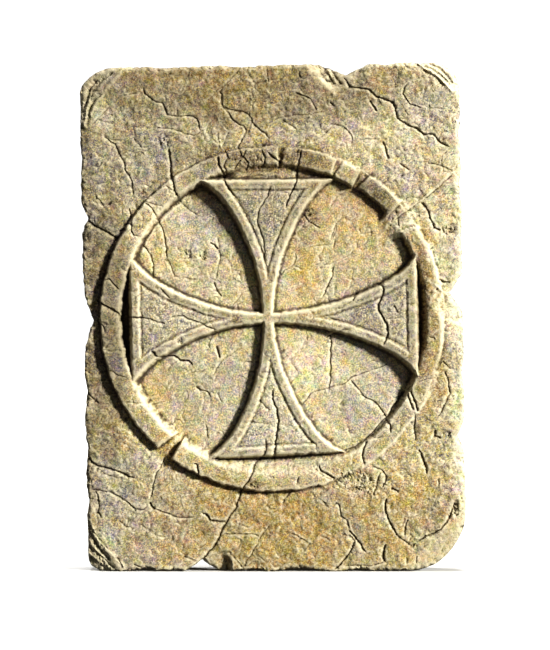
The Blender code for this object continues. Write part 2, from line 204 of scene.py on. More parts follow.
# Cracks by part of the tile: the kind of each, then the pixels of the photograph it runs through
CRACKS = {
    "upper_left": (
        "fine 110,106 91,126",
        "medium 142,86 145,94 153,100 162,103 165,108 167,114 177,116 194,116 199,122 200,131",
        "light 177,116 178,104",
        "fine 123,95 133,94 142,92",
        "medium 103,136 115,144 121,156 125,162 125,170 129,175 132,182 133,188 134,195",
        "fine 105,135 111,139 122,140",
        "light 134,138 138,144 142,148 149,146",
        "wide 169,148 171,162 171,171 174,182 175,190 179,199",
        "fine 179,199 186,206 197,214",
        "fine 150,130 158,128 173,128 185,134 194,135 202,131 207,128",
        "light 242,67 227,83 217,91 206,102",
        "light 239,70 226,85 216,94",
        "medium 218,91 223,94 221,100 223,107 233,110 242,111 249,115 253,122 258,127 266,134 270,140",
        "medium 223,107 230,115 235,122 245,126 246,131 242,140 239,147 241,154 242,159 237,166 234,171",
        "fine 218,132 219,142 220,148",
        "fine 229,132 225,142 221,148",
        "wide 218,156 219,164 223,172 225,180 229,188 234,196",
        "light 235,95 249,90",
        "light 254,84 267,80",
        "light 266,67 269,82",
        "light 95,194 105,208",
        "wide 88,219 97,227 105,231 114,236 119,238",
        "medium 143,202 150,206 155,212 158,218 162,227 165,238 166,248 167,258",
        "fine 167,258 171,266 175,276 185,278 198,279",
        "medium 142,244 147,250 151,256 153,264 153,272 153,280",
    ),
    "upper_right": (
        "wide 345,78 350,86 358,87 366,88 373,92 377,96 386,99 393,102 395,108 397,118 403,122 409,125 "
        "417,128 425,134 434,134 441,142 450,147",
        "fine 395,130 407,129",
        "wide 370,100 374,106 377,111",
        "medium 409,82 405,87 403,94 407,100 410,104 417,106 422,108",
        "light 429,104 430,107 443,108",
        "medium 295,92 302,94 310,98 314,104 317,110",
        "light 270,122 282,117 297,115 311,114 323,111",
        "light 282,119 290,124 298,130",
        "light 335,124 327,132 319,139 310,142",
        "light 329,123 335,124 342,126 347,130 351,135 353,140 352,148",
        "medium 330,102 335,106",
        "light 359,139 379,138",
        "wide 383,142 386,147 387,154 389,159",
        "medium 399,162 405,167 410,170",
        "fine 426,163 438,164 446,168 453,171",
        "wide 421,202 426,206 429,212 431,219 435,227 441,230",
        "medium 395,220 404,213 413,207 421,201",
        "medium 424,199 432,193 441,185 448,178 454,172",
        "wide 301,150 301,156 298,166 297,175 296,182 294,187 291,194 287,202 286,208",
        "fine 347,190 341,194 335,200 331,207",
        "fine 343,216 337,223 334,231 331,240",
        "medium 301,212 305,216 309,222 314,224 321,228",
        "fine 359,228 361,233 373,233",
        "medium 272,184 268,196 260,208 257,222 264,240 265,262",
    ),
    "middle_left": (
        "fine 217,236 219,246 220,258 218,270 216,280",
        "wide 210,242 215,245 218,249",
        "medium 214,282 219,292 222,296",
        "fine 251,290 243,292 237,300 232,306",
        "medium 85,390 91,397 99,403",
        "fine 153,404 162,402 167,400",
        "wide 129,317 142,317",
        "medium 142,317 155,320 166,324",
        "medium 171,317 183,316 193,320 203,324 211,328 217,330",
        "wide 151,350 157,356 163,357 174,356 181,360 189,361 193,365",
        "fine 215,333 210,340 209,345 210,348",
        "wide 217,346 218,352 220,358",
        "light 246,346 235,352 222,360 217,369 213,376",
        "medium 195,386 201,390 207,392 211,397",
        "fine 218,393 222,402",
        "medium 161,288 166,294 170,298",
        "fine 205,423 207,428 208,438",
    ),
    "middle_right": (
        "light 357,240 357,248 351,253 345,258 337,261 326,265 319,269",
        "light 307,247 323,245 329,244",
        "fine 337,225 333,238",
        "medium 334,266 333,276 327,288 322,298",
        "fine 295,252 297,258 293,266 285,270 281,276",
        "fine 294,266 302,269",
        "wide 375,284 381,284 384,289 383,296 379,304 379,310 383,317 387,325 388,333 386,340 383,346",
        "light 385,318 405,317",
        "medium 394,305 398,313",
        "wide 357,293 353,301",
        "fine 350,329 363,324",
        "medium 325,338 334,334 343,330 350,329",
        "medium 331,334 331,358 330,385 329,392",
        "medium 390,364 377,369 363,373 351,378 343,384 330,388 321,390 311,393 306,401 302,405",
        "medium 351,380 358,388 363,396 373,400 379,405 385,414 387,418",
        "wide 411,390 414,398 418,412",
        "wide 408,393 411,404 414,410",
        "medium 415,413 415,425 415,434 416,442",
        "wide 419,449 423,457 426,468 427,474",
        "light 418,381 434,378",
        "medium 443,361 451,369",
        "light 442,361 435,376 430,389",
        "medium 445,370 449,382 450,394 445,405 441,413 437,418",
        "wide 436,430 435,436 441,438",
        "light 429,337 435,338",
        "wide 439,278 443,281 450,282",
        "light 425,278 430,281 441,292",
    ),
    "lower_left": (
        "wide 87,454 90,460 97,465 110,468 121,472 129,476 135,478",
        "light 93,466 105,473 117,478 123,478",
        "medium 90,489 99,490 110,492 119,496 127,502 135,508 143,510 149,505",
        "medium 95,490 99,496 99,505 98,512 102,518",
        "medium 165,457 162,465 158,472 155,477 153,489 150,500",
        "wide 150,502 155,509",
        "medium 155,509 166,513 177,517 186,518 195,517",
        "wide 202,513 207,514 211,520 222,522 226,521",
        "wide 200,562 209,552 214,546 219,537 221,532 226,524 229,518 234,512 239,500 241,492 245,486 "
        "249,480 253,472 255,465 261,458 265,453 267,445 265,438",
        "medium 223,533 237,534 251,534 259,536",
        "medium 243,568 247,560 250,556 255,548 261,538 265,532 270,524",
        "fine 229,550 233,557 238,562 243,568",
        "fine 183,556 189,558 198,561",
        "medium 133,564 142,568 150,568",
        "light 119,521 126,526 134,529",
        "light 142,525 150,530 157,536 166,537",
        "medium 117,557 123,568",
    ),
    "bottom_arm": (
        "wide 273,389 273,400 277,409 279,420 278,430 276,438 276,446 275,462",
        "light 241,423 249,422 270,423",
        "light 231,436 241,434",
        "fine 259,400 270,410",
        "fine 261,372 270,372",
    ),
    "lower_right": (
        "light 314,468 321,473 329,478 337,480 345,485",
        "wide 319,465 321,470 327,474 335,478",
        "medium 294,490 287,497 283,504",
        "medium 299,477 297,485",
        "wide 391,488 399,492",
        "wide 387,498 385,505 386,513 389,521 394,530 398,536",
        "medium 398,536 405,540 410,545",
        "medium 409,517 406,524 405,536",
        "fine 323,501 327,505",
        "medium 335,502 339,505 341,512 342,516 347,520 349,526 349,530",
        "wide 349,530 355,537 359,541 363,549 366,552",
        "wide 355,541 353,548 349,554 343,561 339,566 334,570",
        "light 342,534 350,536 355,541",
        "wide 386,544 384,549 383,557 385,562",
        "medium 385,562 377,565 363,566 345,566",
        "light 290,533 297,536 306,541 310,544 307,548 303,553",
        "fine 321,536 331,541",
        "fine 439,478 439,489",
        "fine 442,552 445,545",
        "fine 407,558 407,564",
        "fine 417,556 417,564",
        "wide 417,542 426,536 434,533 441,529 447,522 450,516 453,509 455,501",
        "medium 373,466 382,470 386,476 386,481 382,488",
        "medium 381,472 377,484 374,496",
    ),
    "ring": (
        "medium 129,208 131,215 132,223 131,231 134,235 139,236",
        "fine 150,195 157,190 166,186 173,190 177,196",
        "fine 145,202 155,204 163,206",
        "light 125,402 145,403",
        "light 109,370 117,374 127,377",
        "light 103,350 121,350",
        "light 103,324 114,324",
        "medium 97,321 103,326 106,332",
        "wide 97,300 105,305 114,310 121,316",
        "medium 103,281 109,279 114,284 119,289",
        "wide 194,463 197,464 198,470 199,477",
        "wide 368,441 364,449 363,456 365,464",
        "medium 398,219 399,226",
        "wide 387,420 391,425 391,433",
        "medium 414,384 402,396 395,405 387,417 378,426 371,434 363,442 350,449 341,452",
        "light 175,174 185,170 195,163 207,160",
        "medium 225,150 228,158 224,166 227,174",
        "medium 247,149 244,156 249,163 246,171",
        "medium 262,150 266,158 263,168",
        "fine 228,158 236,160 244,156",
        "wide 268,152 274,158 282,162",
        "light 243,148 256,147 270,148",
        "light 240,172 256,171 272,171",
        "light 241,177 258,175 274,176",
    ),
}

# Worn arrises, raised a little, with a painted highlight along them: the pixels each runs through
LIT_RIDGE_LINES = {
    "ring_lower_right": "438,372 433,389 423,404 414,416 403,430 393,443 377,457 361,469",
    "ring_upper_right": "301,150 314,151 330,155 345,161 357,167 368,175 379,184 391,195 402,207",
    "ring_upper_left": "185,196 181,203 174,208 165,217 155,228 147,240 142,252",
    "gap_edge": "453,172 439,184 426,196 415,205 403,212 393,220 385,228",
    "gap_foot": "384,213 392,209 400,210 407,207",
    "ring_start": "395,227 404,224 414,224 420,229",
    "flank_facet": "425,278 433,284 442,291 449,297",
    "flank_low": "438,301 440,320 441,345 439,365",
}

# Smooth ridges of the chipped corners, with a painted highlight along them, each through these pixels
RIDGES = (
    "84,126 86,110 91,96 100,84 108,76",
    "90,114 97,99 107,88 120,74",
    "86,536 94,549 104,561 112,570",
    "86,550 96,561 104,571",
    "90,524 98,539 110,553 124,567",
    "420,66 433,72 444,81 452,91",
)
RIDGE_WIDTH = 0.75
RIDGE_RISE = 0.55
PALE_WIDTH = 0.5
PALE_RISE = 0.32

# Random kinks of these routes: spacing and swing
RIDGE_KINKS = (4.0, 0.15)
PALE_KINKS = (3.0, 0.12)
SCORE_KINKS = (5.0, 0.15)

# Parallel scores at the corners: half width, depth, how far one side stands lower and how much
# painted shade darkens them, then each one's pixels
SCORE_KIND = (0.6, 0.8, 0.1, 0.1)
SCORES = {
    "top_left": (
        "97,80 90,88 87,99 85,108 84,122",
        "102,94 95,100 90,111 87,127",
        "104,78 94,90 90,101",
        "113,72 99,84 93,94",
    ),
    "top_right": (
        "423,66 431,68 441,74 449,82",
        "429,63 439,67 447,75 454,84",
        "417,64 425,70 437,77 445,86",
    ),
    "bottom_left": (
        "89,530 95,542 103,553 110,560",
        "87,545 97,553 105,560 114,569",
        "89,557 97,562 106,570",
        "88,520 94,532 102,543 108,549",
    ),
    "top_edge": (
        "318,64 322,72 328,82",
        "324,63 328,72 335,84",
        "331,66 336,76 342,84",
    ),
}

# Broken slopes at the edges: the two pixels where each meets the face, its low pixel, the depth
# there, the reach around it and the roughness
SLOPES = {
    "top_left_corner": ((79, 132), (132, 61), (84, 66), 5.0, 70, 0.14),
    "top_right_corner": ((412, 62), (462, 106), (458, 66), 4.0, 60, 0.12),
    "bottom_left_corner": ((85, 520), (124, 571), (90, 567), 4.5, 60, 0.14),
    "bottom_right_corner": ((468, 500), (396, 571), (452, 556), 5.0, 75, 0.20),
    "top_bite": ((318, 84), (350, 90), (337, 66), 2.6, 26, 0.30),
    "top_bite_side": ((352, 86), (374, 66), (346, 68), 3.4, 24, 0.20),
    "left_bite": ((88, 298), (93, 336), (80, 322), 2.0, 30, 0.25),
    "left_notch": ((84, 204), (92, 222), (78, 222), 1.8, 22, 0.25),
    "right_bite": ((452, 276), (444, 300), (462, 292), 2.6, 30, 0.30),
    "right_notch": ((458, 414), (450, 444), (466, 434), 2.2, 30, 0.30),
    "lower_right_edge": ((458, 500), (440, 532), (466, 522), 2.4, 34, 0.30),
    "bottom_bite": ((190, 568), (210, 552), (204, 570), 2.0, 26, 0.30),
}

# Rough broken patches: pixel, half width, half height, turn in degrees, depth, roughness
PATCHES = {
    "upper_left_chip": (163, 141, 7, 10, 20, 0.5, 0.5),
    "field_left_a": (187, 256, 5, 8, 0, 0.7, 0.5),
    "field_left_b": (204, 256, 6, 6, 0, 0.6, 0.5),
    "field_lower_left": (180, 341, 3, 4, 0, 0.8, 0.4),
    "right_edge": (449, 230, 8, 6, 0, 0.7, 0.6),
    "right_lower": (447, 434, 7, 5, 0, 0.6, 0.6),
    "crumbled_bottom": (358, 484, 30, 16, -15, 0.3, 0.75),
    "bottom_ring_pit": (254, 485, 5, 4, 0, 0.9, 0.4),
    "bottom_pits": (356, 489, 9, 3, 0, 0.7, 0.6),
    "lower_right_pit": (456, 509, 3, 9, 0, 1.2, 0.5),
    "lower_right_blob": (414, 546, 4, 3, 0, 0.7, 0.4),
    "ring_rubble": (404, 214, 10, 5, -35, 0.05, 0.06),
    "ring_top": (246, 161, 22, 9, 5, 0.3, 0.6),
    "ring_top_dots": (265, 145, 4, 3, 0, 0.5, 0.3),
    "ring_upper_left": (146, 190, 18, 5, 38, 0.2, 0.5),
    "ring_left_edge": (113, 203, 10, 4, 25, 0.2, 0.5),
    "ring_brown": (378, 196, 18, 12, -40, 0.05, 0.15),
    "panel_hole": (309, 218, 9, 5, -20, 0.3, 0.3),
    "top_arm_chip": (281, 220, 6, 7, 0, 0.35, 0.25),
    "top_arm_break": (310, 212, 8, 4, -10, 0.5, 0.35),
    "left_edge_low": (88, 470, 6, 12, 0, 0.3, 0.4),
}

# Stains, with painted shade, shadows and highlights among them: pixel, half width, half height, turn in
# degrees, strength
STAINS = {
    "orange": {
        "beside_top_arm": (299, 250, 14, 56, 12, 1.0),
        "top_right_field": (330, 225, 42, 40, 0, 0.55),
        "ring_right": (430, 305, 13, 64, 0, 1.4),
        "ring_start": (413, 245, 8, 18, 25, 0.9),
        "ring_right_low": (440, 380, 12, 22, 0, 0.8),
        "field_left": (154, 240, 12, 22, 0, 0.35),
        "field_low_left": (160, 385, 14, 18, 0, 0.6),
        "beside_bottom_arm": (315, 420, 12, 26, 20, 0.55),
        "ring_break": (172, 446, 14, 14, 0, 0.9),
        "ring_bottom": (270, 476, 60, 9, 0, 0.6),
        "bottom_edge": (262, 530, 100, 46, 0, 1.0),
        "bottom_right": (410, 520, 60, 44, 0, 0.8),
        "top_edge": (250, 84, 150, 26, 0, 0.65),
        "chipped_flank": (448, 276, 8, 5, -20, 0.8),
        "arm_stain": (281, 219, 9, 9, 0, 0.9),
        "upper_right_face": (400, 130, 40, 40, 0, 0.35),
        "right_face": (440, 220, 24, 40, 0, 0.35),
        "top_arm_head": (262, 176, 34, 7, 0, 0.5),
        "under_ring_right": (372, 224, 24, 18, 0, 0.5),
    },
    "grey": {
        "upper_left": (140, 140, 64, 54, 0, 0.75),
        "top_left": (112, 96, 40, 30, 0, 0.5),
        "left_edge": (88, 250, 14, 130, 0, 0.5),
        "field_top_left": (203, 226, 34, 26, 0, 0.9),
        "field_bottom_left": (220, 392, 40, 34, 20, 0.7),
        "field_bottom_right": (368, 402, 40, 34, 0, 0.8),
        "top_arm": (270, 215, 42, 40, 0, 0.8),
        "right_arm": (380, 320, 46, 40, 0, 0.75),
        "left_arm": (165, 322, 52, 40, 0, 0.6),
        "bottom_arm": (275, 430, 46, 40, 0, 0.8),
        "ring_left": (112, 320, 16, 110, 0, 0.6),
        "ring_top": (262, 156, 20, 10, 0, 0.4),
        "upper_middle": (330, 98, 56, 26, 0, 0.6),
        "lower_left": (130, 510, 60, 50, 0, 0.4),
        "top_right": (420, 112, 36, 40, 0, 0.6),
    },
    # Brown stone, and painted shade on the ring's inner slope at the right, along the tile's left side and
    # in the field's top left corner
    "brown": {
        "ring_upper_right": (378, 198, 26, 12, -42, 0.65),
        "ring_upper_right_end": (396, 212, 10, 9, -42, 0.6),
        "ring_top": (266, 158, 60, 12, 0, 0.9),
        "ring_bottom_pit": (254, 485, 8, 6, 0, 0.7),
        "left_side": (84, 330, 8, 200, 0, 0.6),
        "ring_inner_slope": (422, 312, 6, 60, 0, 1.0),
        "ring_right_low": (440, 372, 8, 26, -12, 0.6),
        "top_corner_of_field": (215, 205, 18, 14, 0, 0.4),
        "arm_hole": (310, 219, 9, 6, 0, 0.5),
    },
    # Darker patches over the tile's top, left, bottom and arms, and painted shade on the ring's left, under
    # the ring's top and below the left arm
    "grime": {
        "top_band": (222, 88, 150, 36, 0, 0.95),
        "upper_left": (140, 128, 84, 66, 0, 0.5),
        "left_edge": (88, 320, 20, 250, 0, 0.7),
        "ring_left": (108, 320, 18, 120, 0, 1.4),
        "bottom_band": (262, 532, 110, 42, 0, 0.5),
        "lower_right": (408, 534, 60, 40, 0, 0.4),
        "lower_left": (130, 515, 60, 60, 0, 0.35),
        "top_arm": (268, 196, 44, 52, 0, 0.45),
        "right_arm": (388, 318, 40, 40, 0, 0.3),
        "left_arm_side": (150, 352, 30, 30, 0, 0.2),
        "under_ring_top": (262, 172, 50, 14, 0, 0.6),
        "chunks": (330, 172, 60, 16, -24, 0.5),
        "brown_chunk": (376, 198, 24, 14, -42, 0.6),
    },
    # Painted shadows: dark patches where the relief's cast shadows fall, beside the ring's walls, at the
    # arms' ends and under the right arm
    "painted_shadow": {
        "under_brown_chunk": (366, 204, 24, 5, -46, 0.9),
        "right_crescent": (408, 243, 22, 6, -56, 1.0),
        "right_arm_end": (419.5, 318, 2.6, 62, 0, 1.0),
        "left_arm_end": (127, 322, 4.5, 62, 0, 1.0),
        "ring_left_outside": (96, 318, 4, 62, 0, 0.9),
        "ring_left_above": (107, 248, 4, 34, -22, 0.8),
        "ring_left_below": (112, 402, 4, 38, 27, 0.8),
        "wedge": (356, 182, 5, 12, -25, 0.7),
        "top_arm_left": (205, 210, 8, 36, 28, 0.5),
        "under_right_arm": (390, 372, 30, 7, -30, 0.9),
        "right_corner": (403, 385, 8, 14, 20, 1.0),
    },
    # Paler cream stone, and painted highlights on edges and flanks that face the key light
    "cream": {
        "levelled_gap": (403, 216, 16, 10, -35, 1.0),
        "right_edge": (461, 330, 9, 220, 0, 1.0),
        "right_upper": (456, 180, 10, 120, 0, 0.7),
        "right_arm_end": (415, 315, 2.5, 60, 0, 0.8),
        "field_bottom": (306, 368, 34, 22, 0, 0.8),
        "bottom_arm": (275, 425, 50, 46, 0, 0.5),
        "right_ring_outside": (448, 250, 9, 56, 18, 0.8),
        "ring_right_slope": (436, 262, 6, 26, 28, 1.0),
        "right_bite": (445, 286, 10, 8, -30, 1.0),
        "upper_right_face": (396, 146, 50, 34, 0, 0.4),
        "right_face_low": (455, 330, 8, 50, 0, 0.6),
        "corner": (96, 100, 13, 30, 30, 0.9),
        "low_corner": (100, 550, 14, 22, -30, 0.6),
        "top_notch": (330, 72, 14, 10, 0, 0.6),
        "bottom_right_corner": (436, 548, 26, 18, 0, 0.5),
        "centre": (268, 318, 30, 12, 0, 0.4),
    },
}

# Thin layers that have flaked off the face: size of the flakes, level of the noise that bounds
# them and depth; then the fine veins: spacing, half width and depth
FLAKES = ((24.0, 0.55, 0.22), (15.0, 0.8, 0.16), (34.0, 0.3, 0.18), (10.0, 1.1, 0.16))
VEINS = ((26.0, 0.22, 0.22), (19.0, 0.20, 0.18), (34.0, 0.24, 0.26), (14.0, 0.18, 0.14), (23.0, 0.20, 0.20))

# Scattered pits: count, smallest and largest size, and depth
PITS = ((900, 0.25, 0.55, 0.35), (160, 0.5, 1.1, 0.5))

# The key light's direction in the front view, which also sets where shade and highlights are painted, and
# how far a chipped lip widens on its lit side
LIGHT_ACROSS = 0.91
LIGHT_UP = 0.42
LIT_LIP = 1.7

rng = np.random.default_rng(20)


def at(px, py):
    """Millimetres across and up from the tile's middle for a pixel of the photograph."""
    return (px - PHOTO_X) * MM_PER_PX, (PHOTO_Y - py) * MM_PER_PX


def pixel_route(pixels):
    """Millimetre points of a route that is written as pairs of the photograph's pixels."""
    pairs = [pair.split(",") for pair in pixels.split()]
    return [at(float(px), float(py)) for px, py in pairs]


def ease(values, low, high):
    """0 below low, 1 above high and a smooth rise between."""
    share = np.clip((values - low) / (high - low), 0.0, 1.0)
    return share * share * (3 - 2 * share)


def cloud(seed, size, smoothness=0.8, shape=None, pitch=PITCH):
    """Raster of cloudy noise of unit spread. Its largest forms measure about size millimetres."""
    rows, cols = shape or GRID_X.shape
    white = np.random.default_rng(seed).standard_normal((rows, cols))
    waves = np.hypot(np.fft.fftfreq(rows, pitch)[:, None], np.fft.rfftfreq(cols, pitch)[None, :])
    weight = (1 + (waves * size) ** 2) ** (-(smoothness + 1) / 2)
    weight[0, 0] = 0
    field = np.fft.irfft2(np.fft.rfft2(white) * weight, s=(rows, cols))
    return field / field.std()


def blur(field, size):
    """The raster softened over about size millimetres."""
    rows, cols = field.shape
    waves = np.hypot(np.fft.fftfreq(rows, PITCH)[:, None], np.fft.rfftfreq(cols, PITCH)[None, :])
    weight = np.exp(-2 * (math.pi * waves * size) ** 2)
    return np.fft.irfft2(np.fft.rfft2(field) * weight, s=(rows, cols))


axis_x = np.arange(-RASTER_X, RASTER_X + PITCH / 2, PITCH)
axis_z = np.arange(-RASTER_Z, RASTER_Z + PITCH / 2, PITCH)
GRID_X, GRID_Z = np.meshgrid(axis_x, axis_z)


def sample(field, x, z):
    """The raster's value between its points."""
    col = np.clip((x + RASTER_X) / PITCH, 0, len(axis_x) - 1.001)
    row = np.clip((z + RASTER_Z) / PITCH, 0, len(axis_z) - 1.001)
    left, low = col.astype(int), row.astype(int)
    across, up = col - left, row - low
    bottom = field[low, left] * (1 - across) + field[low, left + 1] * across
    top = field[low + 1, left] * (1 - across) + field[low + 1, left + 1] * across
    return bottom * (1 - up) + top * up


def empty(count):
    """This many rasters of zeros."""
    return np.zeros((count, *GRID_X.shape))


def raise_to(field, values, where=...):
    """Raise the raster to these values wherever they are higher."""
    field[where] = np.maximum(field[where], values)


def window(low_x, high_x, low_z, high_z):
    """Slices of the raster that cover this box."""
    first_col = max(int((low_x + RASTER_X) / PITCH), 0)
    last_col = min(int((high_x + RASTER_X) / PITCH) + 2, len(axis_x))
    first_row = max(int((low_z + RASTER_Z) / PITCH), 0)
    last_row = min(int((high_z + RASTER_Z) / PITCH) + 2, len(axis_z))
    return slice(first_row, last_row), slice(first_col, last_col)


def near_route(points, reach, closed=False):
    """Distance to a route, which way it lies, side of it and share of its length, near the route.

    The way is 1 where the raster point lies straight down the light from the route.
    """
    points = np.asarray(points, float)
    if closed:
        points = np.vstack([points, points[:1]])
    low, high = points.min(0) - reach, points.max(0) + reach
    rows, cols = window(low[0], high[0], low[1], high[1])
    shape = GRID_X[rows, cols].shape
    nearest = np.full(shape, np.inf)
    side = np.zeros(shape)
    share = np.zeros(shape)
    lit = np.zeros(shape)
    lengths = np.hypot(*np.diff(points, axis=0).T)
    total = lengths.sum()
    gone = 0.0
    for start, end, length in zip(points, points[1:], lengths):
        low = np.minimum(start, end) - reach
        high = np.maximum(start, end) + reach
        part_rows, part_cols = window(low[0], high[0], low[1], high[1])
        x = GRID_X[part_rows, part_cols] - start[0]
        z = GRID_Z[part_rows, part_cols] - start[1]
        run = (end - start) / max(length, 1e-9)
        along = np.clip(x * run[0] + z * run[1], 0, length)
        across = x * run[1] - z * run[0]
        off_x, off_z = x - along * run[0], z - along * run[1]
        distance = np.hypot(off_x, off_z)
        down_light = -(off_x * LIGHT_ACROSS + off_z * LIGHT_UP) / np.maximum(distance, 1e-6)
        local = (
            slice(part_rows.start - rows.start, part_rows.stop - rows.start),
            slice(part_cols.start - cols.start, part_cols.stop - cols.start),
        )
        closer = distance < nearest[local]
        nearest[local] = np.where(closer, distance, nearest[local])
        side[local] = np.where(closer, np.sign(across), side[local])
        share[local] = np.where(closer, (gone + along) / total, share[local])
        lit[local] = np.where(closer, down_light, lit[local])
        gone += length
    return (rows, cols), nearest, side, share, lit


def jagged(points, step=1.5, swing=0.28):
    """The route with small random kinks between its points."""
    route = []
    for start, end in zip(points, points[1:]):
        start, end = np.array(start), np.array(end)
        length = math.hypot(*(end - start))
        pieces = max(int(length / step), 1)
        normal = np.array([start[1] - end[1], end[0] - start[0]]) / max(length, 1e-9)
        for piece in range(pieces):
            wobble = 0 if piece == 0 and not route else rng.uniform(-swing, swing)
            route.append(start + (end - start) * piece / pieces + normal * wobble)
    route.append(np.array(points[-1]))
    return route


def corner_arc(name, sign_x, sign_z):
    in_x, in_z, run_x, run_z = CORNERS[name]
    middle_x = sign_x * (HALF_WIDTH - in_x - run_x)
    middle_z = sign_z * (HALF_HEIGHT - in_z - run_z)
    turns = np.linspace(0, math.pi / 2, 24)
    arc = np.column_stack([
        middle_x + sign_x * run_x * np.cos(turns), middle_z + sign_z * run_z * np.sin(turns)])
    return arc if sign_x * sign_z > 0 else arc[::-1]


def bitten_side(start, end, side):
    along = 1 if side in ("left", "right") else 0
    inward = {"left": (1, 0), "bottom": (0, 1), "right": (-1, 0), "top": (0, -1)}[side]
    share = np.linspace(0, 1, 700)[1:-1]
    line = start + (end - start) * share[:, None]
    dip = np.zeros(len(share))
    for place, half_length, depth, power in BITES[side]:
        inside = np.clip(1 - np.abs(line[:, along] - place) / half_length, 0, 1)
        dip = np.maximum(dip, depth * inside ** power)
    return line + np.outer(dip, inward)


def tile_outline():
    """The tile's edge in the front view: dense points, anticlockwise from the top left corner."""
    arcs = [
        corner_arc("top_left", -1, 1),
        corner_arc("bottom_left", -1, -1),
        corner_arc("bottom_right", 1, -1),
        corner_arc("top_right", 1, 1),
    ]
    points = []
    for index, side in enumerate(("left", "bottom", "right", "top")):
        points.append(arcs[index])
        points.append(bitten_side(arcs[index][-1], arcs[(index + 1) % 4][0], side))
    outline = np.vstack(points)
    count = len(outline)
    waves = np.fft.rfftfreq(count, 1 / count)
    worn = np.zeros(count)
    for size, amount in EDGE_RIPPLES:
        white = np.fft.rfft(rng.standard_normal(count))
        cut = OUTLINE_LENGTH / size
        ripple = np.fft.irfft(white * np.exp(-(waves / cut) ** 2), n=count)
        worn += amount * np.abs(ripple / ripple.std())
    radius = np.hypot(*outline.T)
    return outline * (1 - worn / radius)[:, None]


outline = tile_outline()
edge_angle = np.arctan2(outline[:, 1], outline[:, 0])
edge_radius = np.hypot(*outline.T)
order = np.argsort(edge_angle)
edge_angle, edge_radius = edge_angle[order], edge_radius[order]


def edge_at(angle):
    """Distance from the tile's middle to its edge."""
    return np.interp(angle, edge_angle, edge_radius, period=2 * math.pi)


def edge_distance():
    """Distance inward from the tile's edge, at most EDGE_REACH."""
    slices, nearest = near_route(outline[::3], EDGE_REACH, closed=True)[:2]
    distance = np.full(GRID_X.shape, EDGE_REACH)
    distance[slices] = np.minimum(nearest, EDGE_REACH)
    inside = np.hypot(GRID_X, GRID_Z) < edge_at(np.arctan2(GRID_Z, GRID_X))
    return np.where(inside, distance, -distance)


def by_angle(table, angle):
    return np.interp(angle, [row[0] for row in table], [row[1] for row in table])


def arm_insets(name):
    """How far each raster point lies inside an arm's edge."""
    direction, reach, flare = ARMS[name]
    turn = math.radians(direction)
    x, z = GRID_X - CROSS_X, GRID_Z - CROSS_Z
    along = x * math.cos(turn) + z * math.sin(turn)
    across = -x * math.sin(turn) + z * math.cos(turn)
    share = np.clip(along / reach, 0, 1)
    half = WAIST + reach * (flare * share ** 2 + SPLAY * share ** 14)
    lean = 2 * flare * share + 14 * SPLAY * share ** 13
    sides = (half - np.abs(across)) / np.sqrt(1 + lean ** 2)
    behind = WAIST - np.hypot(along, across)
    return np.where(along < 0, behind, np.minimum(sides, reach - along))


def arm_relief(inset, wobble):
    """Height of the arm at this inset: side, flat border, groove and panel."""
    inset = inset + wobble
    middle = BORDER + GROOVE / 2
    border = CROSS_RISE - 0.55 * np.clip(1 - inset / 0.9, 0, 1) ** 2
    panel = CROSS_RISE - PANEL_DROP + 0.12 * ease(inset, BORDER, BORDER + 6)
    top = np.where(inset < middle, border, panel)
    top = top - GROOVE_DEPTH * np.clip(1 - np.abs(inset - middle) / (GROOVE / 2), 0, 1)
    side = CROSS_RISE - 0.55 + inset * (CROSS_RISE + 3.4) / CROSS_SIDE
    return np.where(inset < 0, side, top)


def blob(x, y, half_x, half_y, turn):
    """1 at a pixel and 0 from an ellipse around it outward, with a smooth fall."""
    middle_x, middle_z = at(x, y)
    angle = math.radians(turn)
    across, up = GRID_X - middle_x, GRID_Z - middle_z
    u = (across * math.cos(angle) + up * math.sin(angle)) / (half_x * MM_PER_PX)
    v = (-across * math.sin(angle) + up * math.cos(angle)) / (half_y * MM_PER_PX)
    return ease(-np.hypot(u, v), -1.25, -0.45)


small_forms = cloud(32, 4.0, 0.7)
large_forms = cloud(33, 26.0, 0.9)
crumbs = cloud(34, 1.8, 0.9)

edge_in = edge_distance()

# Outer face: slightly wavy, and lower along its worn edges
relief = FACE_LEVEL + FACE_LARGE_WAVES * large_forms + FACE_SMALL_WAVES * small_forms
for number, (size, level, drop) in enumerate(FLAKES):
    flake = cloud(140 + number, size, 1.1)
    relief -= drop * ease(flake, level, level + 0.06)

# Ring and sunk field
ring_x, ring_z = GRID_X, GRID_Z - RING_Z
ring_angle = np.degrees(np.arctan2(ring_z, ring_x)) % 360
ring_radius = np.hypot(ring_x, ring_z) + 0.16 * cloud(35, 7.0, 0.8) + 0.05 * cloud(36, 1.6, 0.6)
rise = RING_RISE * by_angle(RING_WEAR, ring_angle)
outer_run = by_angle(RING_OUTER_RUN, ring_angle)
inner_edge = by_angle(RING_INNER, ring_angle)
inner_foot = inner_edge - by_angle(RING_INNER_RUN, ring_angle)
crest = inner_edge + (RING_OUTER - inner_edge) * by_angle(RING_CREST, ring_angle)
roundness = by_angle(RING_ROUND, ring_angle)
outside = rise * (1 - ease(ring_radius, RING_OUTER - 0.3, RING_OUTER + outer_run))
crown = np.where(
    ring_radius > crest,
    1 - roundness * ((ring_radius - crest) / (RING_OUTER - crest)) ** 2,
    1 - roundness * ((crest - ring_radius) / (crest - inner_edge + 1.0)) ** 2,
)
ring_top = np.minimum(outside, rise * crown)
for first, last, tilt_out, tilt_along, lift in RING_CHUNKS.values():
    middle = (first + last) / 2
    inside = ease(ring_angle, first - 0.25, first + 0.25) * (1 - ease(ring_angle, last - 0.25, last + 0.25))
    out = (ring_radius - inner_edge - 3.4) / 3.4
    along = (ring_angle - middle) / (last - first) * 2
    ring_top += inside * ease(ring_top, 0.3, 1.2) * (lift + tilt_out * out * 0.8 + tilt_along * along * 0.8)
